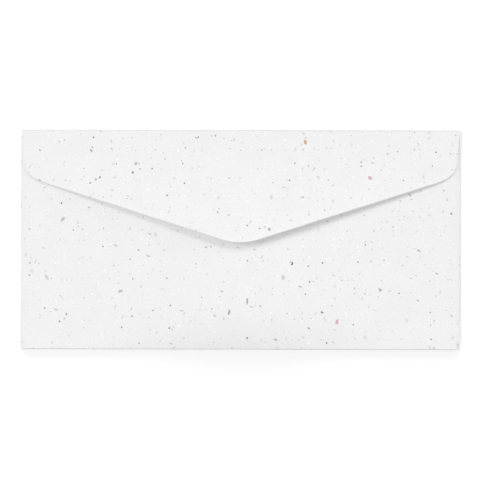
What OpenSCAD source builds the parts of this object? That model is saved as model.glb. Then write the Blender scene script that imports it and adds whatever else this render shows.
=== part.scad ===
// Wallet envelope with a pointed flap, cut and folded from one sheet of flecked recycled paper.
// It lies on its address side with the flap up. X runs along the long folds, Y from the bottom
// fold to the flap fold and Z up. The origin is the middle of the address side, on its surface.

/* [Envelope] */
// Length along the bottom fold and the flap fold
env_l = 220; // [180:5:260]
// Height from the bottom fold to the flap fold
env_h = 110; // [100:1:130]
// Thickness of the paper
paper_t = 0.16; // [0.12:0.01:0.24]

/* [Creases and seams] */
// Room left inside a crease between two layers
crease_gap = 0.12; // [0.06:0.01:0.3]
// How far the back panel is pressed into the glued side flaps
glue_bite = 0.02; // [0.01:0.01:0.04]

/* [Side flaps] */
// Width of each side flap inside the side fold
side_w = 18; // [12:1:28]
// Start of a side flap below the flap fold
side_head = 3; // [2:0.5:5]
// Further fall of its top end across its width
side_mitre = 15; // [6:1:18]
// Start of a side flap above the bottom fold
side_foot = 3; // [2:0.5:6]
// Further rise of its bottom end across its width
side_splay = 6; // [2:1:10]
// Radius of its two inner corners
side_corner_r = 4; // [1:0.5:5]

/* [Back panel] */
// How far its side edges stop short of the side folds
back_inset = 1.5; // [0.8:0.1:3]
// Depth of the throat below the flap fold at both sides
throat_depth = 14; // [10:1:18]
// Further dip of the throat in the middle
throat_dip = 4; // [0:1:8]
// Height of the swell where the pocket stands open most
swell_h = 2.5; // [0.5:0.1:3]
// Distance of the swell's crest from the bottom fold
swell_crest = 22; // [16:1:30]

/* [Seal flap] */
// Depth of the rounded tip below the flap fold
flap_depth = 56.6; // [46:0.2:70]
// Depth of the shoulder corners below the flap fold, before they are rounded
shoulder_depth = 23.2; // [20:0.2:28]
// How far each side has drawn in at its shoulder
flap_taper = 1.6; // [0.8:0.1:4]
// Radius of the shoulders
shoulder_r = 12; // [6:1:18]
// Radius of the tip
tip_r = 29; // [12:1:36]
// Room between the flap and the back panel at the crease
flap_gap = 0.15; // [0.1:0.01:0.4]
// Height that the tip has sprung up by
flap_lift = 4.7; // [2.4:0.1:6]
// How the lift grows with depth: 1 is a straight leaf, 2 curls up at the tip
flap_curl = 2.1; // [1.4:0.1:2.4]
// How near to the flap's two ends its lift dies away: more is nearer
flap_hold = 8; // [4:1:12]

/* [Hidden] */

// Radius of the sheet's middle line round each fold, from what the fold has to span
side_fold_r = (paper_t + crease_gap) / 2;
back_fold_r = (2 * paper_t + crease_gap - glue_bite) / 2;
seal_fold_r = back_fold_r + (paper_t + flap_gap) / 2;

// Half length of the flat address side, which is also where the flap's sides start
panel_half = env_l / 2 - side_fold_r - paper_t / 2;
// Half length of the back panel, and of its stretch that isn't glued
back_half = env_l / 2 - back_inset;
free_half = env_l / 2 - side_w;

// Overlap of each fold with the address side, and how far a cutting outline passes a fold
lap = 1;
spare = 1;

// Segments of a fold, of a rounded corner, of a leaf in section and of the swell along X
fold_steps = 8;
corner_steps = 12;
leaf_steps = 18;
span_steps = 28;
// Crowds the back panel's points towards the bottom fold, where it curves most
leaf_crowding = 1.5;

function unit(v) = v / norm(v);
function turned(v, angle) = [v.x * cos(angle) - v.y * sin(angle), v.x * sin(angle) + v.y * cos(angle)];
function last(points) = points[len(points) - 1];

// Points that round the corner b between its neighbours a and c
function corner(a, b, c, r) =
    let (
        u = unit(a - b),
        v = unit(c - b),
        half = acos(u * v) / 2,
        centre = b + unit(u + v) * r / sin(half),
        start = b + u * r / tan(half) - centre,
        turn = -sign(cross(u, v)) * (180 - 2 * half)
    )
    [for (i = [0 : corner_steps]) centre + turned(start, turn * i / corner_steps)];

// Closed outline from a list of [point, radius] corners
function outline(corners) =
    let (n = len(corners))
    [
        for (i = [0 : n - 1])
            let (p = corners[i][0], r = corners[i][1])
            each r == 0 ? [p] : corner(corners[(i + n - 1) % n][0], p, corners[(i + 1) % n][0], r)
    ];

// Section of the sheet: the path of its middle line, thickened by half the paper to each side
function ribbon(path) =
    let (
        n = len(path),
        out = [
            for (i = [0 : n - 1])
                let (d = unit(path[min(i + 1, n - 1)] - path[max(i - 1, 0)]))
                [-d.y, d.x] * paper_t / 2
        ]
    )
    concat([for (i = [0 : n - 1]) path[i] + out[i]], [for (i = [n - 1 : -1 : 0]) path[i] - out[i]]);

// Every folded panel is drawn in the frame of its own edge: X along the fold, Y inwards from the
// fold's outer line and Z up. Its path starts in the address side and rolls round the fold.
function fold_path(r, turn) =
    let (centre = [r + paper_t / 2, r + paper_t / 2])
    concat(
        [[centre.x + lap, paper_t / 2]],
        [for (i = [0 : fold_steps]) centre - r * [sin(turn * i / fold_steps), cos(turn * i / fold_steps)]]
    );

// A strip of sheet with one section all along its fold
module strip(path, run) {
    rotate([90, 0, 90])
        translate([0, 0, -run / 2])
            linear_extrude(run)
                polygon(ribbon(path));
}

// A sheet whose section changes along X: a skin through one ribbon at each station. A ribbon's
// second half runs back along its first, so each end is closed by rungs across the sheet.
module loft(stations, ribbons) {
    n = len(ribbons[0]);
    m = len(ribbons);
    points = [for (i = [0 : m - 1]) each [for (p = ribbons[i]) [stations[i], p.x, p.y]]];
    skin = [
        for (i = [0 : m - 2], j = [0 : n - 1])
            let (a = i * n + j, b = i * n + (j + 1) % n)
            each [[a, b + n, a + n], [a, b, b + n]]
    ];
    rungs = [
        for (j = [0 : n / 2 - 2])
            let (a = j, b = j + 1, c = n - 2 - j, d = n - 1 - j, e = (m - 1) * n)
            each [[a, d, c], [a, c, b], [a + e, c + e, d + e], [a + e, b + e, c + e]]
    ];
    polyhedron(points, concat(skin, rungs));
}

// The address side, flat between the four folds
module address_side() {
    y_low = -env_h / 2 + back_fold_r + paper_t / 2;
    y_high = env_h / 2 - seal_fold_r - paper_t / 2;
    translate([-panel_half, y_low, 0])
        cube([2 * panel_half, y_high - y_low, paper_t]);
}

// A side flap: folded in first, with mitred ends
module side_flap() {
    fold = fold_path(side_fold_r, 180);
    head = env_h / 2 - side_head;
    foot = side_foot - env_h / 2;
    intersection() {
        strip(concat(fold, [[side_w + spare, last(fold).y]]), env_h);
        linear_extrude(env_h)
            polygon(outline([
                [[foot, -spare], 0],
                [[foot + side_splay, side_w], side_corner_r],
                [[head - side_mitre, side_w], side_corner_r],
                [[head, -spare], 0]
            ]));
    }
}

// How the swell dies away along X, to nothing at the glued seams, and with distance from the fold
function swell_across(x) = abs(x) < free_half ? pow(cos(90 * x / free_half), 2) : 0;
function swell_up(q) = q * exp(1 - q);
// Depth of the throat below the flap fold
function throat(x) = throat_depth + throat_dip * (1 - pow(x / back_half, 2));

// Section of the back panel at x. It leaves the bottom fold at the slope of the swell.
function back_path(x) =
    let (
        swell = swell_h * swell_across(x),
        fold = fold_path(back_fold_r, 180 - atan(swell * exp(1) / swell_crest)),
        start = last(fold),
        reach = env_h - throat(x) - start.x
    )
    concat(
        fold,
        [
            for (i = [1 : leaf_steps])
                let (s = reach * pow(i / leaf_steps, leaf_crowding))
                start + [s, swell * swell_up(s / swell_crest)]
        ]
    );

// The back panel: folded up over the side flaps and glued to them, and swelling between the seams
module back_panel() {
    swelling = [for (i = [0 : span_steps]) free_half * (2 * i / span_steps - 1)];
    stations = concat([-back_half], swelling, [back_half]);
    loft(stations, [for (x = stations) ribbon(back_path(x))]);
}

// Angle of the flap's diagonal: the tangent from a shoulder corner to the tip's circle
function diagonal_angle(half, drop) = asin(tip_r / norm([half, drop - tip_r])) + atan2(drop - tip_r, half);

// How much of its lift the flap has at x: at its ends the fold holds it down
function lift_across(x) = 1 - pow(2 * abs(x) / env_l, flap_hold);

// Section of the seal flap at x, run on past the tip for the cutting outline
function flap_path(x) =
    let (
        fold = fold_path(seal_fold_r, 180),
        start = last(fold),
        reach = flap_depth + spare - start.x
    )
    concat(
        fold,
        [
            for (i = [1 : leaf_steps])
                let (s = reach * i / leaf_steps)
                start + [s, flap_lift * lift_across(x) * pow(s / flap_depth, flap_curl)]
        ]
    );

// The seal flap: folded down last, over the back panel, and sprung up a little towards its tip
module seal_flap() {
    shoulder_half = env_l / 2 - flap_taper;
    angle = diagonal_angle(shoulder_half, flap_depth - shoulder_depth);
    apex = shoulder_depth + shoulder_half * tan(angle);
    // The stations crowd towards both ends, where the lift dies away
    stations = [for (i = [0 : span_steps]) env_l / 2 * sin(90 * (2 * i / span_steps - 1))];
    intersection() {
        loft(stations, [for (x = stations) ribbon(flap_path(x))]);
        linear_extrude(env_h)
            polygon(outline([
                [[-panel_half, -spare], 0],
                [[-panel_half, 0], 0],
                [[-shoulder_half, shoulder_depth], shoulder_r],
                [[0, apex], tip_r],
                [[shoulder_half, shoulder_depth], shoulder_r],
                [[panel_half, 0], 0],
                [[panel_half, -spare], 0]
            ]));
    }
}

module envelope() {
    color("#f4f4f2")
        union() {
            address_side();
            for (side = [0, 1])
                mirror([side, 0, 0])
                    rotate([0, 0, 90])
                        translate([0, -env_l / 2, 0])
                            side_flap();
            translate([0, -env_h / 2, 0])
                back_panel();
            mirror([0, 1, 0])
                translate([0, -env_h / 2, 0])
                    seal_flap();
        }
}

envelope();
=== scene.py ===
"""Paper envelope: one folded sheet of flecked recycled paper, flap side up on a pale table.

The sheet is cut flat as a blank, scored, and folded with the same radii and curves as the part's
solid. Sizes are in millimetres until the fold writes metres.
"""

import logging
import math
from collections.abc import Callable, Iterator
from dataclasses import dataclass, field
from enum import Enum

import bmesh
import bpy
from mathutils import Euler, Matrix, Vector


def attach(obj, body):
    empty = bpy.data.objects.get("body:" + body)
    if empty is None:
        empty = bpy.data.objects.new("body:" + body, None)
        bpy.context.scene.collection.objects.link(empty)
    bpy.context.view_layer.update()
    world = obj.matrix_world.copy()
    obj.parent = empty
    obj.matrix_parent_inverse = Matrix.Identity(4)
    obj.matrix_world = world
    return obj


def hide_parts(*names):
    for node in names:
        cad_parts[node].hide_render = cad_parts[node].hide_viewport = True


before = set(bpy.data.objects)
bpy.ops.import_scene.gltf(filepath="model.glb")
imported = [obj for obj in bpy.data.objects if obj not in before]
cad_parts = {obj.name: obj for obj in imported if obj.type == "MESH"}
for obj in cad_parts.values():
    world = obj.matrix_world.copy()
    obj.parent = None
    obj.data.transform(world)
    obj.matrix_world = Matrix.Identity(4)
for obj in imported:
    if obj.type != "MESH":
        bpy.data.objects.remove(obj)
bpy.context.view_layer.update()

MM = 0.001
# Vertices nearer than this to a cutting line, in millimetres, count as on it
ON_LINE = 1e-4
# Score lines that agree to this many decimals of a millimetre are one line
LINE_DIGITS = 5
# Sockets of the Mix node that mix colours: its sockets for numbers have the same names
MIX_FACTOR, MIX_A, MIX_B, MIX_RESULT = 0, 6, 7, 2

log = logging.getLogger("envelope")

Colour = tuple[float, float, float, float]
CutLine = tuple[Vector, Vector]
# Axis of the blank that a fold crosses, its place along that axis and its half width
FoldLine = tuple[str, float, float]
Socket = bpy.types.NodeSocket


def linear(hex_colour: str) -> Colour:
    """Turns an sRGB hex colour to the linear values that Blender works in.

    Args:
        hex_colour: The colour as "#rrggbb".

    Returns:
        Linear red, green, blue and an alpha of 1.
    """
    channels = [int(hex_colour[i : i + 2], 16) / 255 for i in (1, 3, 5)]
    # The numbers are those of the sRGB curve
    red, green, blue = (c / 12.92 if c <= 0.04045 else ((c + 0.055) / 1.055) ** 2.4 for c in channels)
    return red, green, blue, 1.0


def add_node(
    tree: bpy.types.NodeTree,
    kind: str,
    settings: dict[str, object] | None = None,
    inputs: dict[str | int, object] | None = None,
) -> bpy.types.Node:
    """Adds a node with its settings and links.

    Args:
        tree: The node tree that it goes into.
        kind: The node's type name.
        settings: Properties of the node.
        inputs: For each input, a value or the output socket that feeds it.

    Returns:
        The new node.
    """
    node = tree.nodes.new(kind)
    for name, value in (settings or {}).items():
        setattr(node, name, value)
    for key, value in (inputs or {}).items():
        if isinstance(value, Socket):
            tree.links.new(value, node.inputs[key])
        else:
            node.inputs[key].default_value = value
    return node


def new_material(name: str) -> bpy.types.Material:
    """Makes a material with an empty node tree.

    Args:
        name: The material's name.

    Returns:
        The material.
    """
    material = bpy.data.materials.new(name)
    material.use_nodes = True
    material.node_tree.nodes.clear()
    return material


def new_object(shape: bmesh.types.BMesh, name: str) -> bpy.types.Object:
    """Turns a finished bmesh to an object in the scene.

    Args:
        shape: The bmesh, which is freed.
        name: The name of the object and of its mesh.

    Returns:
        The object, at the origin.
    """
    mesh = bpy.data.meshes.new(name)
    shape.to_mesh(mesh)
    shape.free()
    made = bpy.data.objects.new(name, mesh)
    bpy.context.scene.collection.objects.link(made)
    return made


def spaced(low: float, high: float, step: float) -> list[float]:
    """Even places from low to high, both included, no further apart than step."""
    count = max(1, math.ceil((high - low) / step))
    return [low + (high - low) * i / count for i in range(count + 1)]


class Tint(Enum):
    """Colours of the flecks, as scraps of print and dyed fibre leave them in the pulp."""

    SOOT = "#343433"
    INK = "#6a6a69"
    ASH = "#989897"
    MIST = "#acacaa"
    CLOUD = "#bcbcba"
    CHALK = "#ffffff"
    MADDER = "#9c848a"
    ROSE = "#c09fa4"
    MAUVE = "#aaa0a3"
    ORANGE = "#ba967a"
    OCHRE = "#a8925c"


class Panel(Enum):
    """The two panels that show from above."""

    BACK = "back panel"
    FLAP = "seal flap"


@dataclass(frozen=True)
class Fleck:
    """One large fleck, placed on the folded envelope as seen from above.

    x and y are its middle in the envelope's frame, long and wide its axes, all in millimetres.
    turn is the angle of its long axis from +X, in degrees.
    """

    panel: Panel
    x: float
    y: float
    long: float
    wide: float
    turn: float
    tint: Tint


PlacedFleck = tuple[Fleck, tuple[float, float]]


@dataclass(frozen=True)
class Sprinkle:
    """One sort of small fleck that lies all through the pulp, at most one to a cell.

    cell is the mean distance between cells and size the longest diameter, in millimetres.
    share is the part of the cells that holds a fleck. stretch is how much longer than wide a
    fleck is, along a grain turned by angle degrees. weight is how far the strongest covers the
    paper.
    """

    cell: float
    size: float
    share: float
    tint: Tint
    weight: float = 1.0
    stretch: float = 1.0
    angle: float = 0.0


@dataclass(frozen=True)
class Crease:
    """A rolled fold, in the frame of its own edge: inwards from its outer line, and up."""

    radius: float
    half_paper: float

    def arc(self) -> float:
        """Length of the sheet's middle line round a half turn."""
        return math.pi * self.radius

    def roll(self, turn: float) -> tuple[float, float]:
        """Distance inwards and height of the middle line after a turn in radians."""
        centre = self.radius + self.half_paper
        return centre - self.radius * math.sin(turn), centre - self.radius * math.cos(turn)


@dataclass
class SideFlaps:
    """The two side flaps: folded in first, with mitred ends.

    head and foot are how far from the flap fold and the bottom fold they start. mitre and splay
    are how much further their ends run in across the width.
    """

    width: float = 18.0
    head: float = 3.0
    mitre: float = 15.0
    foot: float = 3.0
    splay: float = 6.0
    corner_r: float = 4.0
    # How far outside the fold the slanting ends start, as in the part's cutting outline
    spare: float = 1.0

    def outline(self, half_height: float) -> list[tuple[float, float, float]]:
        """Outline of the left side flap.

        Args:
            half_height: Half the envelope's height.

        Returns:
            Corners as (place along the fold, distance inwards, radius), from the foot up.
        """
        foot = self.foot - half_height
        head = half_height - self.head
        return [
            (foot, -self.spare, 0.0),
            (foot + self.splay, self.width, self.corner_r),
            (head - self.mitre, self.width, self.corner_r),
            (head, -self.spare, 0.0),
        ]

    def ends_at(self, half_height: float, inwards: float) -> tuple[float, float]:
        """Where a side flap starts and ends along its fold.

        Args:
            half_height: Half the envelope's height.
            inwards: Distance inwards from the fold's outer line.

        Returns:
            Its lower and upper end there.
        """
        part = (inwards + self.spare) / (self.width + self.spare)
        foot = self.foot - half_height + self.splay * part
        head = half_height - self.head - self.mitre * part
        return foot, head

    def place(self, crease: Crease, run: float) -> tuple[float, float]:
        """Where a point of the blank goes when a side flap is folded in.

        Args:
            crease: The side fold.
            run: Run of sheet beyond the address side.

        Returns:
            Distance inwards from the side fold's outer line, and height.
        """
        if run < crease.arc():
            return crease.roll(run / crease.radius)
        start, height = crease.roll(math.pi)
        return start + run - crease.arc(), height


@dataclass
class BackPanel:
    """The back panel: folded up, glued to the side flaps and swelling between the seams.

    inset is how far its side edges stop short of the side folds. swell_h is the height of the
    swell where the pocket stands open most, and swell_crest its distance from the bottom fold.
    """

    inset: float = 1.5
    throat_depth: float = 14.0
    throat_dip: float = 4.0
    swell_h: float = 2.5
    swell_crest: float = 22.0
    # Slow waves in the sheet: their height, their length up the panel, how much longer they are
    # across it, and their slant
    cockle_h: float = 0.06
    cockle_l: float = 46.0
    cockle_broad: float = 1.7
    cockle_slant: float = 0.4

    def swell_at(self, x: float, free_half: float) -> float:
        """Height of the swell's crest, which dies away to nothing at the glued seams.

        Args:
            x: Place along the bottom fold.
            free_half: Half length of the stretch that isn't glued.

        Returns:
            The height.
        """
        if abs(x) >= free_half:
            return 0.0
        return self.swell_h * math.cos(math.pi / 2 * x / free_half) ** 2

    def throat(self, x: float, back_half: float) -> float:
        """Depth of the throat below the flap fold."""
        return self.throat_depth + self.throat_dip * (1 - (x / back_half) ** 2)

    def launch(self, swell: float) -> float:
        """Angle at which the panel leaves its fold, at the slope of the swell."""
        return math.atan(swell * math.e / self.swell_crest)

    def place(self, crease: Crease, x: float, run: float, free_half: float) -> tuple[float, float]:
        """Where a point of the blank goes when the panel is folded up.

        Args:
            crease: The bottom fold.
            x: Place along the fold.
            run: Run of sheet beyond the address side.
            free_half: Half length of the stretch that isn't glued.

        Returns:
            Distance inwards from the bottom fold's outer line, and height.
        """
        swell = self.swell_at(x, free_half)
        turn = math.pi - self.launch(swell)
        if run < crease.arc():
            return crease.roll(turn * run / crease.arc())
        start, height = crease.roll(turn)
        s = run - crease.arc()
        q = s / self.swell_crest
        wave = math.sin(math.tau * (s + self.cockle_slant * x) / self.cockle_l)
        wave *= math.cos(math.tau * x / (self.cockle_broad * self.cockle_l))
        free = swell / self.swell_h * min(1.0, s / self.cockle_l)
        return start + s, height + swell * q * math.exp(1 - q) + self.cockle_h * free * wave


@dataclass
class SealFlap:
    """The seal flap: folded down last and sprung up a little towards its tip.

    Depths are below the flap fold. taper is how far each side has drawn in at its shoulder, lift
    how high the tip has sprung up, and curl how the lift grows with depth.
    """

    depth: float = 56.6
    shoulder_depth: float = 23.2
    taper: float = 1.6
    shoulder_r: float = 12.0
    tip_r: float = 29.0
    lift: float = 4.7
    curl: float = 2.1
    # How near to the flap's two ends its lift dies away: more is nearer
    hold: float = 8.0
    # How unevenly it has sprung up: more on the right than on the left, and most in the middle
    twist: float = 0.35
    droop: float = 0.15
    # Slow waves in the sheet, which only lower it: their depth, length and slant
    cockle_h: float = 0.08
    cockle_l: float = 62.0
    cockle_slant: float = 0.5

    def diagonal(self, shoulder_half: float) -> float:
        """Angle of the straight diagonals.

        Args:
            shoulder_half: Half the flap's breadth at its shoulder corners.

        Returns:
            The angle of the tangent from a shoulder corner to the tip's circle, in radians.
        """
        drop = self.depth - self.shoulder_depth - self.tip_r
        reach = math.hypot(shoulder_half, drop)
        return math.asin(self.tip_r / reach) + math.atan2(drop, shoulder_half)

    def outline(self, half_length: float, panel_half: float) -> list[tuple[float, float, float]]:
        """Outline of the flap.

        Args:
            half_length: Half the envelope's length.
            panel_half: Half length of the address side, where the flap's sides start.

        Returns:
            Corners as (x, depth below the fold's outer line, radius), from right to left.
        """
        shoulder_half = half_length - self.taper
        apex = self.shoulder_depth + shoulder_half * math.tan(self.diagonal(shoulder_half))
        return [
            (panel_half, 0.0, 0.0),
            (shoulder_half, self.shoulder_depth, self.shoulder_r),
            (0.0, apex, self.tip_r),
            (-shoulder_half, self.shoulder_depth, self.shoulder_r),
            (-panel_half, 0.0, 0.0),
        ]

    def place(self, crease: Crease, across: float, x: float, run: float) -> tuple[float, float]:
        """Where a point of the blank goes when the flap is folded down.

        Args:
            crease: The flap fold.
            across: Place along the fold, from -1 at one end to 1 at the other.
            x: The same in millimetres.
            run: Run of sheet beyond the address side.

        Returns:
            Distance inwards from the flap fold's outer line, and height.
        """
        if run < crease.arc():
            return crease.roll(run / crease.radius)
        start, height = crease.roll(math.pi)
        s = run - crease.arc()
        lift = self.lift * (1 + self.twist * across - self.droop * across**2)
        lift *= (1 - abs(across) ** self.hold) * (s / self.depth) ** self.curl
        wave = (1 + math.sin(math.tau * (x + self.cockle_slant * s) / self.cockle_l)) / 2
        free = min(1.0, s / self.depth) ** 2
        return start + s, height + lift - self.cockle_h * free * wave


@dataclass
class Envelope:
    """The whole envelope, cut and folded from one sheet, in one piece.

    crease_gap is the room left inside a crease, glue_bite how far the back panel is pressed into
    the side flaps, and flap_gap the room between seal flap and back panel at the crease.
    """

    name: str = "folded_sheet"
    length: float = 220.0
    height: float = 110.0
    paper: float = 0.16
    crease_gap: float = 0.12
    glue_bite: float = 0.02
    flap_gap: float = 0.15
    sides: SideFlaps = field(default_factory=SideFlaps)
    back: BackPanel = field(default_factory=BackPanel)
    flap: SealFlap = field(default_factory=SealFlap)
    # The line beside a fold that keeps its shading off the panel
    fold_rim: float = 0.15
    # Distances between score lines: steps of a fold, and millimetres on the panels
    fold_steps: int = 8
    column_step: float = 3.0
    address_step: float = 6.0
    leaf_step: float = 1.5
    leaf_rows: int = 44
    # Crowds the back panel's rows towards the bottom fold, where it curves most
    leaf_crowding: float = 1.5
    # Straight cuts that round a corner
    corner_cuts: int = 14

    def __post_init__(self) -> None:
        """Works out the folds and the lines that the panels share."""
        half_paper = self.paper / 2
        side_r = (self.paper + self.crease_gap) / 2
        back_r = (2 * self.paper + self.crease_gap - self.glue_bite) / 2
        seal_r = back_r + (self.paper + self.flap_gap) / 2
        self.side_crease = Crease(side_r, half_paper)
        self.back_crease = Crease(back_r, half_paper)
        self.seal_crease = Crease(seal_r, half_paper)
        self.panel_half = self.length / 2 - side_r - half_paper
        self.back_half = self.length / 2 - self.back.inset
        self.free_half = self.length / 2 - self.sides.width
        self.v_low = -self.height / 2 + back_r + half_paper
        self.v_high = self.height / 2 - seal_r - half_paper

    def side_u(self, inwards: float) -> float:
        """Distance from the blank's middle to a point of a side flap, from its place inwards."""
        crease = self.side_crease
        return self.panel_half + crease.arc() - crease.radius - crease.half_paper + inwards

    def flap_v(self, depth: float) -> float:
        """Place on the blank of a point of the seal flap, from its depth below the fold."""
        crease = self.seal_crease
        return self.v_high + crease.arc() - crease.radius - crease.half_paper + depth

    def back_v(self, inwards: float) -> float:
        """Place on the blank of a point of the back panel, from its place above the bottom."""
        crease = self.back_crease
        return self.v_low - crease.arc() + crease.radius + crease.half_paper - inwards

    def reach(self, x: float) -> float:
        """Run of the back panel from the end of its fold to the throat.

        Args:
            x: Place along the bottom fold.

        Returns:
            The run of sheet there.
        """
        swell = self.back.swell_at(x, self.free_half)
        start, _ = self.back_crease.roll(math.pi - self.back.launch(swell))
        return self.height - self.back.throat(x, self.back_half) - start

    def fold_lines(self) -> list[FoldLine]:
        """The folds as they lie on the flat blank.

        Returns:
            The left, right, bottom and flap fold.
        """
        side, back, seal = (c.arc() / 2 for c in (self.side_crease, self.back_crease, self.seal_crease))
        return [
            ("X", -self.panel_half - side, side),
            ("X", self.panel_half + side, side),
            ("Y", self.v_low - back, back),
            ("Y", self.v_high + seal, seal),
        ]

    def on_blank(self, fleck: Fleck) -> tuple[float, float]:
        """Finds a fleck of the folded envelope on the flat blank.

        Args:
            fleck: The fleck, with its place on the envelope.

        Returns:
            Its place on the blank.
        """
        if fleck.panel is Panel.FLAP:
            return fleck.x, self.flap_v(self.height / 2 - fleck.y)
        return fleck.x, self.back_v(self.height / 2 + fleck.y)

    def fold(self, u: float, v: float) -> Vector:
        """Folds one point of the blank.

        Args:
            u: Its place along the long folds.
            v: Its place across them, from the back panel up to the seal flap.

        Returns:
            Where the sheet's middle goes, in the envelope's frame.
        """
        x, y, z = u, v, self.paper / 2
        if v < self.v_low - ON_LINE:
            inwards, z = self.back.place(self.back_crease, u, self.v_low - v, self.free_half)
            y = inwards - self.height / 2
        elif v > self.v_high + ON_LINE:
            inwards, z = self.flap.place(self.seal_crease, 2 * u / self.length, u, v - self.v_high)
            y = self.height / 2 - inwards
        elif abs(u) > self.panel_half + ON_LINE:
            inwards, z = self.sides.place(self.side_crease, abs(u) - self.panel_half)
            x = math.copysign(self.length / 2 - inwards, u)
        return Vector((x, y, z))

    def columns(self) -> list[float]:
        """Score lines across the blank.

        Returns:
            Their places along the long folds, from left to right.
        """
        crease = self.side_crease.arc()
        fold_end = self.panel_half + crease
        right = [
            *spaced(0.0, self.free_half, self.column_step),
            *spaced(self.free_half, self.back_half, self.column_step),
            self.panel_half - self.fold_rim,
            *spaced(self.panel_half, fold_end, crease / self.fold_steps),
            fold_end + self.fold_rim,
            *spaced(fold_end, self.side_u(self.sides.width), self.column_step),
        ]
        return sorted({round(side * u, LINE_DIGITS) for u in right for side in (-1, 1)})

    def rows(self) -> list[float]:
        """Score lines along the blank.

        Returns:
            Their places, from the throat up to the flap's tip.
        """
        foot, head = self.sides.ends_at(self.height / 2, self.side_fold_start())
        back_arc, seal_arc = self.back_crease.arc(), self.seal_crease.arc()
        longest = self.reach(self.back_half)
        leaf = [longest * (i / self.leaf_rows) ** self.leaf_crowding for i in range(self.leaf_rows + 1)]
        rows = [
            *(self.v_low - back_arc - s for s in leaf),
            *spaced(self.v_low - back_arc, self.v_low, back_arc / self.fold_steps),
            self.v_low + self.fold_rim,
            *spaced(self.v_low, foot, self.address_step),
            *spaced(foot, head, self.address_step),
            *spaced(head, self.v_high, self.address_step),
            self.v_high - self.fold_rim,
            *spaced(self.v_high, self.v_high + seal_arc, seal_arc / self.fold_steps),
            self.v_high + seal_arc + self.fold_rim,
            *spaced(self.v_high + seal_arc, self.flap_v(self.flap.depth), self.leaf_step),
        ]
        return sorted({round(v, LINE_DIGITS) for v in rows})

    def side_fold_start(self) -> float:
        """Where the side fold starts on the blank, in the side flaps' measure inwards."""
        return self.side_crease.radius + self.side_crease.half_paper - self.side_crease.arc()

    def is_paper(self, u: float, v: float) -> bool:
        """Whether a face belongs to one of the five panels.

        Args:
            u: Place of its middle along the long folds.
            v: Place of its middle across them.

        Returns:
            False where the blank is cut away.
        """
        if v < self.v_low:
            return abs(u) < self.back_half
        if v > self.v_high:
            return True
        foot, head = self.sides.ends_at(self.height / 2, self.side_fold_start())
        return abs(u) < self.panel_half or foot < v < head

    def score(self) -> bmesh.types.BMesh:
        """Rules the rectangle that holds the blank with every score line, and drops the waste.

        Returns:
            The flat blank, with its panels still square.
        """
        columns, rows = self.columns(), self.rows()
        half_u = (columns[-1] - columns[0]) / 2
        half_v = (rows[-1] - rows[0]) / 2
        middle = Matrix.Translation(((columns[0] + columns[-1]) / 2, (rows[0] + rows[-1]) / 2, 0))
        spread = middle @ Matrix.Diagonal((half_u, half_v, 1, 1))
        blank = bmesh.new()
        bmesh.ops.create_grid(blank, x_segments=1, y_segments=1, size=1.0, matrix=spread)
        lines = [(Vector((u, 0, 0)), Vector((1, 0, 0))) for u in columns[1:-1]]
        lines += [(Vector((0, v, 0)), Vector((0, 1, 0))) for v in rows[1:-1]]
        for point, across in lines:
            geometry = blank.verts[:] + blank.edges[:] + blank.faces[:]
            bmesh.ops.bisect_plane(blank, geom=geometry, dist=ON_LINE, plane_co=point, plane_no=across)
        waste = [f for f in blank.faces if not self.is_paper(*f.calc_center_median().xy)]
        bmesh.ops.delete(blank, geom=waste, context="FACES")
        return blank

    def cut_lines(self, corners: list[Vector], radii: list[float]) -> Iterator[CutLine]:
        """Straight cuts along an outline, and the short ones that round its corners.

        Args:
            corners: The outline's corners, clockwise, with the paper on the right-hand side.
            radii: The radius of each corner.

        Yields:
            A point of each cut and the direction that points out of the paper.
        """
        sides = [(b - a).normalized() for a, b in zip(corners, corners[1:])]
        outward = [Vector((-d.y, d.x, 0)) for d in sides]
        yield from zip(corners, outward)
        for corner, radius, before, after in zip(corners[1:], radii[1:], outward, outward[1:]):
            centre = corner - (before + after) * radius / (1 + before.dot(after))
            for i in range(1, self.corner_cuts):
                out = before.lerp(after, i / self.corner_cuts).normalized()
                yield centre + out * radius, out

    def trim(
        self,
        blank: bmesh.types.BMesh,
        inside: Callable[[Vector], bool],
        cuts: list[CutLine],
    ) -> None:
        """Cuts one panel to its outline and leaves the others alone.

        Args:
            blank: The flat blank.
            inside: Whether a face's middle lies in the panel.
            cuts: The straight cuts to make.
        """
        for point, out in cuts:
            faces = [f for f in blank.faces if inside(f.calc_center_median())]
            edges = {e for f in faces for e in f.edges}
            verts = {v for f in faces for v in f.verts}
            geometry = [*verts, *edges, *faces]
            bmesh.ops.bisect_plane(
                blank, geom=geometry, dist=ON_LINE, plane_co=point, plane_no=out, clear_outer=True
            )

    def cut(self, blank: bmesh.types.BMesh) -> None:
        """Cuts the seal flap and the side flaps to shape, and dips the throat.

        Args:
            blank: The flat blank.
        """
        outline = self.flap.outline(self.length / 2, self.panel_half)[::-1]
        corners = [Vector((x, self.flap_v(depth), 0)) for x, depth, _ in outline]
        cuts = list(self.cut_lines(corners, [radius for _, _, radius in outline]))
        self.trim(blank, lambda c: c.y > self.v_high, cuts)
        outline = self.sides.outline(self.height / 2)
        corners = [Vector((-self.side_u(inwards), v, 0)) for v, inwards, _ in outline]
        cuts = list(self.cut_lines(corners, [radius for _, _, radius in outline]))
        self.trim(blank, lambda c: c.x < -self.panel_half, cuts)
        mirror = Matrix.Diagonal((-1, 1, 1))
        cuts = [(mirror @ point, mirror @ out) for point, out in cuts]
        self.trim(blank, lambda c: c.x > self.panel_half, cuts)
        fold_end = self.v_low - self.back_crease.arc()
        longest = self.reach(self.back_half)
        for vert in blank.verts:
            if vert.co.y < fold_end:
                vert.co.y = fold_end + (vert.co.y - fold_end) * self.reach(vert.co.x) / longest

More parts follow.
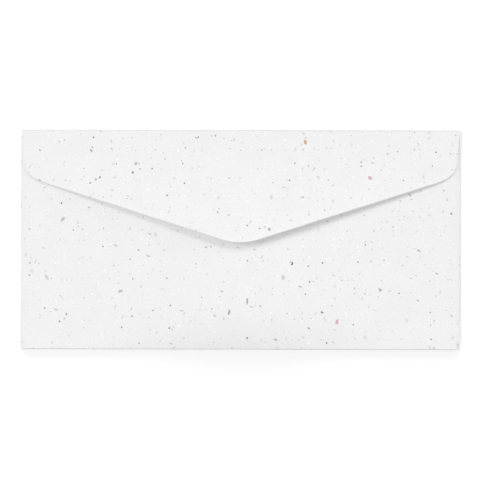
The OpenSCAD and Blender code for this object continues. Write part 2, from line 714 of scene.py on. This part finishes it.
    def fold_up(self, blank: bmesh.types.BMesh) -> None:
        """Keeps each point's place on the blank as its UV, then folds the sheet.

        Args:
            blank: The blank, cut to shape.
        """
        uv = blank.loops.layers.uv.new("blank")
        for face in blank.faces:
            face.smooth = True
            for loop in face.loops:
                loop[uv].uv = loop.vert.co.xy
        for edge in blank.edges:
            edge.smooth = not edge.is_boundary
        for vert in blank.verts:
            vert.co = self.fold(vert.co.x, vert.co.y) * MM
        bmesh.ops.reverse_faces(blank, faces=blank.faces[:])

    def build(self) -> bpy.types.Object:
        """Makes the envelope from its blank.

        Returns:
            The finished piece, thickened to the paper's thickness.
        """
        blank = self.score()
        self.cut(blank)
        bmesh.ops.triangulate(blank, faces=[f for f in blank.faces if len(f.verts) > 4])
        self.fold_up(blank)
        piece = new_object(blank, self.name)
        wall = piece.modifiers.new("paper_thickness", "SOLIDIFY")
        wall.thickness = self.paper * MM
        wall.offset = 0.0
        wall.use_even_offset = True
        wall.use_quality_normals = True
        # The second material is for the inside and the third for the cut edges
        wall.material_offset = 1
        wall.material_offset_rim = 2
        log.info("%s: %d faces before it gets its thickness", self.name, len(piece.data.polygons))
        return piece


@dataclass(frozen=True)
class FleckedPaper:
    """Uncoated recycled paper, made wet from mixed pulp and pressed between felts.

    It gives the eye a matt, faintly mottled off-white, with scraps of ink and dyed fibre in it.
    """

    name: str
    base: str = "#d6d6d6"
    # Painted shade along the folds, where the rolled edges turn from the light: colour, reach either way
    # and strength
    fold_shade: str = "#b2b2b1"
    fold_shade_reach: float = 0.35
    fold_shade_weight: float = 0.22
    # How far the paper's own tone wanders, over what lengths in millimetres and how finely
    mottle: float = 0.035
    mottle_size: float = 1.1
    mottle_detail: float = 3.0
    cloud: float = 0.012
    cloud_size: float = 14.0
    cloud_detail: float = 1.0
    # The stretch of the noise's values that the wandering takes up
    noise_range: tuple[float, float] = (0.2, 0.8)
    # Roughness of the flecks' outlines
    ragged: float = 0.45
    ragged_size: float = 0.9
    # Edge of a large fleck, from where it starts to where it is full, as parts of its half axes
    large_edge: tuple[float, float] = (1.15, 0.75)
    # Scattered flecks: the smallest, the soft edge and the faintest, as parts of the largest's
    # radius, of its radius and of the strongest's weight
    smallest: float = 0.45
    soft_edge: float = 0.35
    faintest: float = 0.3
    # How far the cells of one sort of scattered fleck are moved from the last one's
    cell_shift: tuple[float, float] = (37.3, 23.9)
    # Felt marks and fibres, as height and length in millimetres, and how strongly they show
    felt_h: float = 0.012
    felt_size: float = 0.7
    felt_strength: float = 0.5
    roughness: float = 0.92
    specular: float = 0.25
    # Moves the scattered flecks, so that the two faces of the sheet differ
    shift: float = 0.0
    sprinkles: tuple[Sprinkle, ...] = (
        Sprinkle(cell=5.0, size=1.15, share=0.38, tint=Tint.ASH, weight=0.7),
        Sprinkle(cell=7.8, size=1.1, share=0.5, tint=Tint.SOOT, weight=0.95),
        Sprinkle(cell=9.5, size=1.6, share=0.39, tint=Tint.INK, weight=0.65, stretch=2.6, angle=24.0),
        Sprinkle(cell=11.0, size=1.8, share=0.38, tint=Tint.ASH, weight=0.5, stretch=3.0, angle=-58.0),
        Sprinkle(cell=12.0, size=2.3, share=0.45, tint=Tint.CLOUD, weight=0.75, stretch=1.5, angle=75.0),
        Sprinkle(cell=3.1, size=0.8, share=0.45, tint=Tint.CHALK, weight=0.52),
        Sprinkle(cell=26.0, size=0.9, share=0.3, tint=Tint.MADDER, weight=0.8),
        Sprinkle(cell=6.5, size=1.3, share=0.3, tint=Tint.CLOUD, weight=0.5, stretch=1.4, angle=10.0),
    )

    def coordinates(self, tree: bpy.types.NodeTree) -> tuple[Socket, Socket]:
        """Places on the blank in millimetres.

        Args:
            tree: The material's node tree.

        Returns:
            The true places, and places pushed about so that what reads them has ragged edges.
        """
        uv = add_node(tree, "ShaderNodeUVMap", {"uv_map": "blank"}).outputs["UV"]
        push = add_node(
            tree,
            "ShaderNodeTexNoise",
            {"noise_dimensions": "2D"},
            {"Vector": uv, "Scale": 1 / self.ragged_size, "Detail": 2.0, "Roughness": 0.6},
        )
        centred = add_node(
            tree,
            "ShaderNodeVectorMath",
            {"operation": "SUBTRACT"},
            {0: push.outputs["Color"], 1: (0.5, 0.5, 0.5)},
        )
        moved = add_node(
            tree,
            "ShaderNodeVectorMath",
            {"operation": "MULTIPLY_ADD"},
            {0: centred.outputs[0], 1: (2 * self.ragged, 2 * self.ragged, 0.0), 2: uv},
        )
        return uv, moved.outputs[0]

    def pulp(self, tree: bpy.types.NodeTree, uv: Socket) -> Socket:
        """Tone of the bare paper: fine mottle over slow clouds.

        Args:
            tree: The material's node tree.
            uv: Places on the blank.

        Returns:
            The paper's colour.
        """
        gain: Socket | float = 1.0
        for size, depth, detail in (
            (self.mottle_size, self.mottle, self.mottle_detail),
            (self.cloud_size, self.cloud, self.cloud_detail),
        ):
            noise = add_node(
                tree,
                "ShaderNodeTexNoise",
                {"noise_dimensions": "2D"},
                {"Vector": uv, "Scale": 1 / size, "Detail": detail, "Roughness": 0.65},
            )
            wander = add_node(
                tree,
                "ShaderNodeMapRange",
                inputs={
                    "Value": noise.outputs[0],
                    "From Min": self.noise_range[0],
                    "From Max": self.noise_range[1],
                    "To Min": -depth,
                    "To Max": depth,
                },
            )
            gain = add_node(
                tree, "ShaderNodeMath", {"operation": "ADD"}, {0: gain, 1: wander.outputs["Result"]}
            ).outputs[0]
        scaled = add_node(
            tree,
            "ShaderNodeVectorMath",
            {"operation": "SCALE"},
            {0: linear(self.base)[:3], "Scale": gain},
        )
        return scaled.outputs[0]

    def sprinkle(
        self,
        tree: bpy.types.NodeTree,
        ragged: Socket,
        colour: Socket,
        sort: Sprinkle,
        seed: float,
    ) -> Socket:
        """Scatters one sort of small fleck.

        Args:
            tree: The material's node tree.
            ragged: Places on the blank with ragged edges.
            colour: The paper's colour so far.
            sort: The flecks to add.
            seed: Moves their cells, so that no two sorts share them.

        Returns:
            The colour with the flecks in it.
        """
        along, across = self.cell_shift
        grain = add_node(
            tree,
            "ShaderNodeMapping",
            {"vector_type": "TEXTURE"},
            {
                "Vector": ragged,
                "Location": (along * seed + self.shift, across * seed, 0.0),
                "Rotation": (0.0, 0.0, math.radians(sort.angle)),
                "Scale": (math.sqrt(sort.stretch), 1 / math.sqrt(sort.stretch), 1.0),
            },
        )
        cells = add_node(
            tree,
            "ShaderNodeTexVoronoi",
            {"voronoi_dimensions": "2D", "feature": "F1"},
            {"Vector": grain.outputs[0], "Scale": 1 / sort.cell, "Randomness": 1.0},
        )
        chance = add_node(tree, "ShaderNodeSeparateColor", inputs={0: cells.outputs["Color"]})
        radius = sort.size / 2 / sort.cell
        reach = add_node(
            tree,
            "ShaderNodeMapRange",
            inputs={
                "Value": chance.outputs[0],
                "To Min": self.smallest * radius,
                "To Max": radius,
            },
        )
        depth = add_node(
            tree,
            "ShaderNodeMath",
            {"operation": "SUBTRACT"},
            {0: reach.outputs["Result"], 1: cells.outputs["Distance"]},
        )
        inside = add_node(
            tree,
            "ShaderNodeMapRange",
            {"interpolation_type": "SMOOTHSTEP"},
            {"Value": depth.outputs[0], "From Min": 0.0, "From Max": self.soft_edge * radius},
        )
        held = add_node(
            tree, "ShaderNodeMath", {"operation": "LESS_THAN"}, {0: chance.outputs[1], 1: sort.share}
        )
        strength = add_node(
            tree,
            "ShaderNodeMapRange",
            inputs={
                "Value": chance.outputs[2],
                "To Min": self.faintest * sort.weight,
                "To Max": sort.weight,
            },
        )
        shown = add_node(
            tree,
            "ShaderNodeMath",
            {"operation": "MULTIPLY"},
            {0: inside.outputs["Result"], 1: held.outputs[0]},
        )
        factor = add_node(
            tree,
            "ShaderNodeMath",
            {"operation": "MULTIPLY"},
            {0: shown.outputs[0], 1: strength.outputs["Result"]},
        )
        return self.tinted(tree, factor.outputs[0], colour, sort.tint.value)

    def tinted(self, tree: bpy.types.NodeTree, factor: Socket, colour: Socket, tint: str) -> Socket:
        """Mixes a tint over the colour so far.

        Args:
            tree: The material's node tree.
            factor: How far the tint covers the colour.
            colour: The paper's colour so far.
            tint: The tint as a hex colour.

        Returns:
            The mixed colour.
        """
        mix = add_node(
            tree,
            "ShaderNodeMix",
            {"data_type": "RGBA"},
            {MIX_FACTOR: factor, MIX_A: colour, MIX_B: linear(tint)},
        )
        return mix.outputs[MIX_RESULT]

    def away_from(
        self, tree: bpy.types.NodeTree, ragged: Socket, fleck: Fleck, place: tuple[float, float]
    ) -> Socket:
        """Distance from a large fleck's middle.

        Args:
            tree: The material's node tree.
            ragged: Places on the blank with ragged edges.
            fleck: The fleck.
            place: Its place on the blank.

        Returns:
            The distance, as parts of the fleck's half axes.
        """
        # A panel that is folded over shows its blank upside down
        own = add_node(
            tree,
            "ShaderNodeMapping",
            {"vector_type": "TEXTURE"},
            {
                "Vector": ragged,
                "Location": (*place, 0.0),
                "Rotation": (0.0, 0.0, math.radians(-fleck.turn)),
                "Scale": (fleck.long / 2, fleck.wide / 2, 1.0),
            },
        )
        far = add_node(tree, "ShaderNodeVectorMath", {"operation": "LENGTH"}, {0: own.outputs[0]})
        return far.outputs["Value"]

    def large_flecks(
        self, tree: bpy.types.NodeTree, ragged: Socket, colour: Socket, flecks: list[PlacedFleck]
    ) -> Socket:
        """Adds the flecks that are placed one by one.

        Args:
            tree: The material's node tree.
            ragged: Places on the blank with ragged edges.
            colour: The paper's colour so far.
            flecks: Each fleck with its place on the blank.

        Returns:
            The colour with the flecks in it.
        """
        start, full = self.large_edge
        for tint in Tint:
            alike = [self.away_from(tree, ragged, *each) for each in flecks if each[0].tint is tint]
            if not alike:
                continue
            nearest = alike[0]
            for away in alike[1:]:
                nearest = add_node(
                    tree, "ShaderNodeMath", {"operation": "MINIMUM"}, {0: nearest, 1: away}
                ).outputs[0]
            inside = add_node(
                tree,
                "ShaderNodeMapRange",
                {"interpolation_type": "SMOOTHSTEP"},
                {"Value": nearest, "From Min": start, "From Max": full},
            )
            colour = self.tinted(tree, inside.outputs["Result"], colour, tint.value)
        return colour

    def paint_fold_shade(
        self, tree: bpy.types.NodeTree, uv: Socket, colour: Socket, folds: list[FoldLine]
    ) -> Socket:
        """Dulls the paper along its folds.

        Args:
            tree: The material's node tree.
            uv: Places on the blank.
            colour: The paper's colour so far.
            folds: The lines on the blank that are folded.

        Returns:
            The colour with the painted fold shade in it.
        """
        place = add_node(tree, "ShaderNodeSeparateXYZ", inputs={0: uv})
        nearest: Socket | float = 1.0
        less = {"operation": "SUBTRACT"}
        for axis, line, half_width in folds:
            off = add_node(tree, "ShaderNodeMath", less, {0: place.outputs[axis], 1: line})
            away = add_node(tree, "ShaderNodeMath", {"operation": "ABSOLUTE"}, {0: off.outputs[0]})
            past = add_node(tree, "ShaderNodeMath", less, {0: away.outputs[0], 1: half_width})
            nearest = add_node(
                tree, "ShaderNodeMath", {"operation": "MINIMUM"}, {0: nearest, 1: past.outputs[0]}
            ).outputs[0]
        # Painted shade, strongest on the fold lines and gone at the reach
        fold_shade_mask = add_node(
            tree,
            "ShaderNodeMapRange",
            {"interpolation_type": "SMOOTHSTEP"},
            {
                "Value": nearest,
                "From Min": self.fold_shade_reach,
                "From Max": 0.0,
                "To Max": self.fold_shade_weight,
            },
        )
        return self.tinted(tree, fold_shade_mask.outputs["Result"], colour, self.fold_shade)

    def material(self, flecks: list[PlacedFleck], folds: list[FoldLine]) -> bpy.types.Material:
        """Makes the material.

        Args:
            flecks: The large flecks, each with its place on the blank.
            folds: The lines on the blank that are folded.

        Returns:
            The finished material.
        """
        material = new_material(self.name)
        tree = material.node_tree
        uv, ragged = self.coordinates(tree)
        # The folds get painted shade, where their rolled edges turn from the light
        colour = self.paint_fold_shade(tree, uv, self.pulp(tree, uv), folds)
        for seed, sort in enumerate(self.sprinkles):
            colour = self.sprinkle(tree, ragged, colour, sort, seed + 1.0)
        colour = self.large_flecks(tree, ragged, colour, flecks)
        felt = add_node(
            tree,
            "ShaderNodeTexNoise",
            {"noise_dimensions": "2D"},
            {"Vector": uv, "Scale": 1 / self.felt_size, "Detail": 4.0, "Roughness": 0.6},
        )
        bump = add_node(
            tree,
            "ShaderNodeBump",
            inputs={
                "Strength": self.felt_strength,
                "Distance": self.felt_h * MM,
                "Height": felt.outputs[0],
            },
        )
        shader = add_node(
            tree,
            "ShaderNodeBsdfPrincipled",
            inputs={
                "Base Color": colour,
                "Roughness": self.roughness,
                "Specular IOR Level": self.specular,
                "Normal": bump.outputs[0],
            },
        )
        add_node(tree, "ShaderNodeOutputMaterial", inputs={"Surface": shader.outputs[0]})
        return material


@dataclass(frozen=True)
class CutEdge:
    """The guillotined edge of the paper: open fibre, a touch lighter than the pressed faces."""

    name: str = "guillotined_paper_edge"
    base: str = "#eaeae8"
    fibre: str = "#d6d6d3"
    # Size of the fibre ends in millimetres
    fibre_size: float = 0.3
    roughness: float = 0.95

    def material(self) -> bpy.types.Material:
        """Makes the material.

        Returns:
            The finished material.
        """
        material = new_material(self.name)
        tree = material.node_tree
        place = add_node(tree, "ShaderNodeTexCoord").outputs["Object"]
        noise = add_node(
            tree,
            "ShaderNodeTexNoise",
            inputs={"Vector": place, "Scale": 1 / (self.fibre_size * MM), "Detail": 2.0},
        )
        mix = add_node(
            tree,
            "ShaderNodeMix",
            {"data_type": "RGBA"},
            {MIX_FACTOR: noise.outputs[0], MIX_A: linear(self.base), MIX_B: linear(self.fibre)},
        )
        shader = add_node(
            tree,
            "ShaderNodeBsdfPrincipled",
            inputs={"Base Color": mix.outputs[MIX_RESULT], "Roughness": self.roughness},
        )
        add_node(tree, "ShaderNodeOutputMaterial", inputs={"Surface": shader.outputs[0]})
        return material


class Reach(Enum):
    """What a light shines on, with Blender's word for the table's place in that."""

    ALL = ""
    TABLE = "INCLUDE"
    ENVELOPE = "EXCLUDE"

    def restrict(self, lamp: bpy.types.Object, table: bpy.types.Object) -> None:
        """Sets what a light shines on.

        Args:
            lamp: The light.
            table: The table, which it lights alone or leaves out.
        """
        if self is Reach.ALL:
            return
        group = bpy.data.collections.new(lamp.name + "_reach")
        group.objects.link(table)
        group.collection_objects[0].light_linking.link_state = self.value
        lamp.light_linking.receiver_collection = group


def hang_light(
    name: str,
    size: tuple[float, float],
    radiance: float,
    place: tuple[float, float, float],
    turn: Euler,
) -> bpy.types.Object:
    """Hangs a flat, oblong light.

    Args:
        name: The light's name.
        size: Its length and breadth in metres.
        radiance: Its radiance, from which its power follows as pi times radiance times area.
        place: Its middle in metres.
        turn: How it is turned from facing down.

    Returns:
        The light's object.
    """
    data = bpy.data.lights.new(name, "AREA")
    data.shape = "RECTANGLE"
    data.size, data.size_y = size
    data.energy = math.pi * radiance * data.size * data.size_y
    lamp = bpy.data.objects.new(name, data)
    lamp.location = place
    lamp.rotation_euler = turn
    bpy.context.scene.collection.objects.link(lamp)
    return lamp


@dataclass
class SoftLight:
    """A flat diffuser above the table, facing down.

    x and y give its middle for each unit of height, so a shadow runs off by as much. spread is
    its size in the same measure. strength is what it adds to the brightness of a white surface.
    """

    name: str
    x: float
    y: float
    spread_x: float
    spread_y: float
    turn: float
    strength: float
    reach: Reach = Reach.ALL

    def build(self, height: float, table: bpy.types.Object) -> None:
        """Hangs the light above the table.

        Args:
            height: Its height in metres.
            table: The table, which it may leave out.
        """
        size = (self.spread_x * height, self.spread_y * height)
        # A flat light of radiance L and area A gives E = L A cos^4 / h^2, here pi times strength
        fall = (1 + self.x**2 + self.y**2) ** 2
        radiance = self.strength * math.pi * fall / (self.spread_x * self.spread_y)
        place = (self.x * height, self.y * height, height)
        turn = Euler((0.0, 0.0, math.radians(self.turn)))
        self.reach.restrict(hang_light(self.name, size, radiance, place, turn), table)


@dataclass
class LowLight:
    """An upright diffuser far behind the envelope, which lights the table alone.

    The envelope throws a wide, faint shadow forward in it. x and y give its place and width its
    breadth, in millimetres. band holds the lowest and highest angle above the table at which the
    envelope sees it, in degrees. strength is what it adds to the brightness of a white table.
    """

    name: str = "low_back_light"
    x: float = -800.0
    y: float = 6000.0
    width: float = 3200.0
    band: tuple[float, float] = (3.5, 9.0)
    strength: float = 0.12

    def build(self, table: bpy.types.Object) -> None:
        """Stands the light behind the envelope.

        Args:
            table: The one object that it lights.
        """
        away = math.hypot(self.x, self.y)
        low, high = (away * math.tan(math.radians(angle)) for angle in self.band)
        # Over a span of azimuth, E = L span (sin^2 high - sin^2 low) / 2, here pi times strength
        span = 2 * math.atan(self.width / 2 / away)
        low_part, high_part = (math.sin(math.radians(angle)) ** 2 for angle in self.band)
        radiance = 2 * math.pi * self.strength / (span * (high_part - low_part))
        size = (self.width * MM, (high - low) * MM)
        place = (self.x * MM, self.y * MM, (low + high) / 2 * MM)
        turn = Euler((-math.pi / 2, 0.0, -math.atan2(self.x, self.y)))
        Reach.TABLE.restrict(hang_light(self.name, size, radiance, place, turn), table)


@dataclass
class Studio:
    """Camera, table and lights."""

    # Where the camera stands, in millimetres, and how it is turned, in degrees
    stand: tuple[float, float, float] = (12.76, -104.55, 2002.17)
    turn: tuple[float, float, float] = (2.985, 0.362, 0.149)
    lens: float = 300.0
    sensor: float = 36.0
    # Nearest and farthest that the camera sees, in metres
    clip: tuple[float, float] = (0.01, 50.0)
    light_height: float = 6000.0
    table: str = "#eeeeee"
    table_roughness: float = 0.95
    table_specular: float = 0.1
    table_half: float = 12000.0
    # The table lies this far below the paper, so that the two don't fight
    table_drop: float = 0.02
    sky: float = 0.12
    lights: tuple[SoftLight, ...] = (
        SoftLight("overhead_light", 0.0, -0.32, 0.7, 0.5, 0.0, 0.69),
        # The photo's ground has no shadow from it, only the wide one of the low light
        SoftLight("top_light", 0.7, 1.3, 2.2, 0.8, -17.5, 0.25, Reach.ENVELOPE),
        SoftLight("left_light", -2.2, 0.5, 1.8, 0.9, 0.0, 0.195),
        SoftLight("right_light", 4.0, 1.2, 3.0, 2.0, 0.0, 0.02),
        SoftLight("low_right_light", 9.0, 2.4, 6.0, 3.0, 0.0, 0.03),
    )
    low_light: LowLight = field(default_factory=LowLight)

    def add_camera(self) -> None:
        """Puts the camera where the photograph was taken from."""
        data = bpy.data.cameras.new("photo_camera")
        data.lens = self.lens
        data.sensor_width = self.sensor
        data.clip_start, data.clip_end = self.clip
        camera = bpy.data.objects.new("photo_camera", data)
        camera.location = Vector(self.stand) * MM
        camera.rotation_euler = Euler([math.radians(a) for a in self.turn])
        bpy.context.scene.collection.objects.link(camera)
        bpy.context.scene.camera = camera

    def add_table(self) -> bpy.types.Object:
        """Lays a plain pale table under the envelope.

        Returns:
            The table.
        """
        plane = bmesh.new()
        bmesh.ops.create_grid(plane, x_segments=2, y_segments=2, size=self.table_half * MM)
        bmesh.ops.translate(plane, verts=plane.verts[:], vec=(0, 0, -self.table_drop * MM))
        table = new_object(plane, "table")
        material = new_material("matt_white_table")
        shader = add_node(
            material.node_tree,
            "ShaderNodeBsdfPrincipled",
            inputs={
                "Base Color": linear(self.table),
                "Roughness": self.table_roughness,
                "Specular IOR Level": self.table_specular,
            },
        )
        add_node(material.node_tree, "ShaderNodeOutputMaterial", inputs={"Surface": shader.outputs[0]})
        table.data.materials.append(material)
        return table

    def add_lights(self, table: bpy.types.Object) -> None:
        """Hangs the soft lights and sets the pale surroundings.

        Args:
            table: The table, which some of them leave out or light alone.
        """
        for light in self.lights:
            light.build(self.light_height * MM, table)
        self.low_light.build(table)
        world = bpy.data.worlds.new("pale_surroundings")
        world.use_nodes = True
        background = world.node_tree.nodes["Background"]
        background.inputs["Color"].default_value = linear("#ffffff")
        background.inputs["Strength"].default_value = self.sky
        bpy.context.scene.world = world

    def build(self) -> None:
        """Sets up everything that isn't part of the envelope."""
        self.add_camera()
        self.add_lights(self.add_table())
        bpy.context.scene.view_settings.view_transform = "Standard"
        log.info("studio: %d lights", len(self.lights) + 1)


# The flecks that the eye finds first, chosen and placed one by one to the half millimetre
LARGE_FLECKS = (
    Fleck(Panel.FLAP, 65.0, 31.0, 2.5, 1.5, -30, Tint.ROSE),
    Fleck(Panel.FLAP, 32.5, 49.0, 2.5, 1.5, -75, Tint.ORANGE),
    Fleck(Panel.FLAP, 14.5, 5.0, 2.0, 1.5, -75, Tint.MAUVE),
    Fleck(Panel.FLAP, -70.5, 31.0, 1.5, 1.0, 45, Tint.MADDER),
    Fleck(Panel.FLAP, -72.5, 30.0, 1.0, 1.0, 0, Tint.MADDER),
    Fleck(Panel.FLAP, -75.0, 44.5, 2.0, 1.0, -60, Tint.MAUVE),
    Fleck(Panel.FLAP, -54.0, 33.5, 1.5, 1.0, -90, Tint.MADDER),
    Fleck(Panel.FLAP, 60.5, 37.0, 1.0, 1.0, 0, Tint.MADDER),
    Fleck(Panel.FLAP, 60.5, 39.0, 1.0, 1.0, 0, Tint.MAUVE),
    Fleck(Panel.FLAP, -52.5, 38.0, 2.0, 1.5, 60, Tint.MIST),
    Fleck(Panel.BACK, 48.5, -41.0, 3.0, 1.5, 75, Tint.ROSE),
    Fleck(Panel.BACK, 70.0, -25.0, 2.0, 1.5, -45, Tint.MAUVE),
    Fleck(Panel.BACK, -54.0, -38.5, 1.0, 1.0, 0, Tint.OCHRE),
    Fleck(Panel.BACK, -87.0, -37.5, 1.5, 1.0, 90, Tint.OCHRE),
    Fleck(Panel.BACK, -89.0, 10.0, 3.0, 1.5, 45, Tint.MIST),
    Fleck(Panel.BACK, -97.0, -19.0, 3.5, 1.5, -60, Tint.CLOUD),
    Fleck(Panel.BACK, -60.0, -26.0, 2.5, 1.5, 15, Tint.MIST),
    Fleck(Panel.BACK, 21.5, -19.0, 2.5, 2.0, -90, Tint.CLOUD),
    Fleck(Panel.BACK, 26.0, -12.0, 2.0, 1.0, 75, Tint.INK),
    Fleck(Panel.BACK, 41.0, -36.5, 1.5, 1.0, -45, Tint.INK),
    Fleck(Panel.BACK, 3.5, -31.0, 3.5, 1.0, 90, Tint.ASH),
    Fleck(Panel.BACK, -5.5, -36.5, 3.0, 1.0, 75, Tint.ASH),
)


def main() -> None:
    """Builds the studio and the envelope, and dresses it."""
    logging.basicConfig(level=logging.INFO, format="%(name)s: %(message)s")
    Studio().build()
    envelope = Envelope()
    piece = envelope.build()
    flecks = [(fleck, envelope.on_blank(fleck)) for fleck in LARGE_FLECKS]
    folds = envelope.fold_lines()
    outside = FleckedPaper("flecked_recycled_paper")
    inside = FleckedPaper("flecked_recycled_paper_inside", shift=61.0)
    for finish in (outside.material(flecks, folds), inside.material([], folds), CutEdge().material()):
        piece.data.materials.append(finish)
    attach(piece, "root")
    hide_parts("envelope")


if __name__ == "__main__":
    main()
